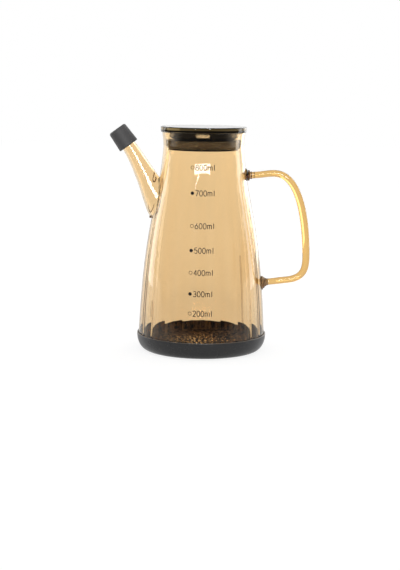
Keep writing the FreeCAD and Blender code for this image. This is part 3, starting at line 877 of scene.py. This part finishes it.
# %% How bright the surroundings look to each kind of ray
def seen_by_eye(tree):
    """1 for camera, glossy and transmitted rays, else 0; and 1 once a ray was reflected."""
    path = tree.nodes.new("ShaderNodeLightPath")
    either = math_node(tree, "MAXIMUM", path.outputs["Is Camera Ray"],
                       path.outputs["Is Glossy Ray"])
    eye = math_node(tree, "MAXIMUM", either, path.outputs["Is Transmission Ray"])
    reflected = math_node(tree, "GREATER_THAN", path.outputs["Glossy Depth"], 0.5)
    return eye, reflected


def blend(tree, share, low, high):
    """Number between low and high by a share; each may be a socket or a number."""
    spread = math_node(tree, "SUBTRACT", high, low)
    return math_node(tree, "MULTIPLY_ADD", share, spread, low)


print("helpers for the surroundings are ready")

# %% The white room
ROOM_DIM, ROOM_WHITE, ROOM_FILL = 0.12, 1.0, 0.62
ROOM_FRONT, ROOM_BACK = 0.10, 0.85  # how far back a direction points: dim below, white above
world = bpy.data.worlds.new("studio")
bpy.context.scene.world = world
world.use_nodes = True
room = world.node_tree
eye, reflected = seen_by_eye(room)
direction = room.nodes.new("ShaderNodeTexCoord").outputs["Generated"]
behind = step_up(room, place_parts(room, direction)[1], ROOM_FRONT, ROOM_BACK)
in_mirror = blend(room, behind, ROOM_DIM, ROOM_WHITE)
to_eye = blend(room, reflected, ROOM_WHITE, in_mirror)
background = room.nodes["Background"]
room.links.new(blend(room, eye, ROOM_FILL, to_eye), background.inputs["Strength"])
background.inputs["Color"].default_value = (1, 1, 1, 1)
print("room:", ROOM_WHITE, "behind,", ROOM_DIM, "in front,", ROOM_FILL, "as fill light")

# %% The floor
FLOOR_GREY, FLOOR_DARK, FLOOR_HALF, FLOOR_CELLS = (0.3, 0.3, 0.3, 1), (0.05, 0.05, 0.05, 1), 3.0, 24
FLOOR_GLOW, FLOOR_DIM = 0.82, 0.0656  # seen behind the pot, and mirrored from in front of it
FLOOR_FRONT, FLOOR_BACK = -0.35, 0.05


def flat_stage(name, shape, material):
    """Put a flat mesh on the stage, outside the table of pieces."""
    mesh = bpy.data.meshes.new(name)
    shape.to_mesh(mesh)
    shape.free()
    mesh.materials.append(material)
    flat = bpy.data.objects.new(name, mesh)
    bpy.context.scene.collection.objects.link(flat)
    return flat


def make_floor_white():
    """Diffuse white that also glows to the eye, and is dark where the glass mirrors it."""
    material, tree, shader = start("floor_white")
    tree.nodes.remove(shader)
    eye, reflected = seen_by_eye(tree)
    diffuse = tree.nodes.new("ShaderNodeBsdfDiffuse")
    feed(tree, mixed(tree, reflected, FLOOR_GREY, FLOOR_DARK), diffuse.inputs["Color"])
    behind = step_up(tree, place_parts(tree)[1], FLOOR_FRONT, FLOOR_BACK)
    in_mirror = blend(tree, behind, FLOOR_DIM, FLOOR_GLOW)
    to_eye = blend(tree, reflected, FLOOR_GLOW, in_mirror)
    glow = tree.nodes.new("ShaderNodeEmission")
    tree.links.new(math_node(tree, "MULTIPLY", eye, to_eye), glow.inputs["Strength"])
    both = tree.nodes.new("ShaderNodeAddShader")
    tree.links.new(diffuse.outputs[0], both.inputs[0])
    tree.links.new(glow.outputs[0], both.inputs[1])
    tree.links.new(both.outputs[0], tree.nodes["Material Output"].inputs["Surface"])
    return material


ground = bmesh.new()
bmesh.ops.create_grid(ground, x_segments=FLOOR_CELLS, y_segments=FLOOR_CELLS, size=FLOOR_HALF)
flat_stage("floor", ground, make_floor_white())
print("floor is", 2 * FLOOR_HALF, "m square")

# %% [markdown]
# ## Lamps
# Glass and lamps belong together, because a lamp is seen in the glass and not only by its light.
# Each one could be placed by eye, but here it stands where its reflection should fall. Three tall
# strips, one on the left and two on the right, stand a little behind the pot and draw the pale
# upright bands near its edges. A wide window in front gives the small bright patch under the neck
# and the long glint on the spout. It would show on the whole front of the jug, so two cards close
# to the wall leave it only a slot, as is done in a studio. The cards show only in reflections, and
# the window gives no light to matt surfaces, so that the sleeve and the cap look as without them.

# %% Soft boxes
def softbox(name, azimuth, elevation, distance, wide, high, radiance, aim):
    """Rectangle lamp at an azimuth from the front, positive to the right, in degrees."""
    a, e = math.radians(azimuth), math.radians(elevation)
    away = Vector((math.sin(a) * math.cos(e), -math.cos(a) * math.cos(e), math.sin(e)))
    light = bpy.data.lights.new(name, "AREA")
    light.shape = "RECTANGLE"
    light.size, light.size_y = wide, high
    light.energy = radiance * math.pi * wide * high
    lamp = bpy.data.objects.new(name, light)
    bpy.context.scene.collection.objects.link(lamp)
    lamp.location = Vector(aim) + away * distance
    lamp.rotation_euler = (-away).to_track_quat("-Z", "Y").to_euler()
    print(name, "at azimuth", azimuth, "elevation", elevation)
    return lamp


MIDDLE, NECK = (0, 0, 0.09), (0, 0, 0.147)
softbox("strip_left", -116, 2, 0.9, 0.33, 1.2, 2.2, MIDDLE)
softbox("strip_right", 113, 2, 0.9, 0.28, 1.2, 2.2, MIDDLE)
softbox("strip_far_right", 148, 2, 0.9, 0.34, 1.2, 1.6, MIDDLE)
window = softbox("window", -2.0, 14.2, 1.0, 0.77, 0.24, 16.0, NECK)
window.visible_diffuse = False

# %% Cards that leave the window a slot
CARD_Y, CARD_LEFT, CARD_RIGHT, CARD_GLOW = -0.070, -0.030, 0.060, 0.08
SLOT_FOOT, SLOT_TOP, CARD_TOP, CARD_FOOT = 0.1505, 0.1565, 0.1775, 0.050
NOTCH = ((-0.0085, SLOT_FOOT), (-0.0205, 0.1405), (-0.0120, SLOT_FOOT))  # a tail under the patch
LOWER_CARD = ((CARD_LEFT, CARD_FOOT), (CARD_RIGHT, CARD_FOOT), (CARD_RIGHT, SLOT_FOOT), *NOTCH,
              (CARD_LEFT, SLOT_FOOT))
UPPER_CARD = ((CARD_LEFT, SLOT_TOP), (CARD_RIGHT, SLOT_TOP), (CARD_RIGHT, CARD_TOP),
              (CARD_LEFT, CARD_TOP))


def make_card_grey():
    """Dim grey to reflected rays and clear to all others."""
    material, tree, shader = start("card_grey")
    tree.nodes.remove(shader)
    _, reflected = seen_by_eye(tree)
    grey = tree.nodes.new("ShaderNodeEmission")
    grey.inputs["Strength"].default_value = CARD_GLOW
    clear = tree.nodes.new("ShaderNodeBsdfTransparent")
    either = tree.nodes.new("ShaderNodeMixShader")
    tree.links.new(reflected, either.inputs["Fac"])
    tree.links.new(clear.outputs[0], either.inputs[1])
    tree.links.new(grey.outputs[0], either.inputs[2])
    tree.links.new(either.outputs[0], tree.nodes["Material Output"].inputs["Surface"])
    return material


card_sheets = bmesh.new()
for corners in (LOWER_CARD, UPPER_CARD):
    card_sheets.faces.new([card_sheets.verts.new((x, CARD_Y, z)) for x, z in corners])
cards = flat_stage("cards", card_sheets, make_card_grey())
cards.visible_camera = cards.visible_diffuse = cards.visible_shadow = False
print("the slot is", round(1000 * (SLOT_TOP - SLOT_FOOT), 1), "mm high")

# %% [markdown]
# ## Camera
# The pot is seen from the front and a little above, by a long lens about a metre away. The camera
# could be aimed by eye, but its height, pitch and roll were worked out from the pot's known
# height and width, so they are kept as numbers.

# %% Camera
CAMERA_AT = Vector((-0.0014315, -1.09699, 0.22208))
PITCH, ROLL, LENS, SENSOR = 0.154388, 0.0129909, 87.36, 36.0
right = Vector((1, 0, 0))
up = Vector((0, math.sin(PITCH), math.cos(PITCH)))
ahead = Vector((0, math.cos(PITCH), -math.sin(PITCH)))
tilt, lean = math.cos(ROLL), math.sin(ROLL)
right, up = tilt * right + lean * up, tilt * up - lean * right
placed = Matrix((right, up, -ahead)).transposed().to_4x4()
placed.translation = CAMERA_AT
lens = bpy.data.cameras.new("camera")
lens.lens, lens.sensor_width = LENS, SENSOR
camera = bpy.data.objects.new("camera", lens)
bpy.context.scene.collection.objects.link(camera)
camera.matrix_world = placed
bpy.context.scene.camera = camera
print("camera looks down by", round(math.degrees(PITCH), 1), "degrees")

# %% View and light paths
scene = bpy.context.scene
scene.view_settings.view_transform = "Standard"
scene.cycles.max_bounces = 24
scene.cycles.transmission_bounces = 20
scene.cycles.glossy_bounces = 8
print("glass may be crossed", scene.cycles.transmission_bounces, "times")
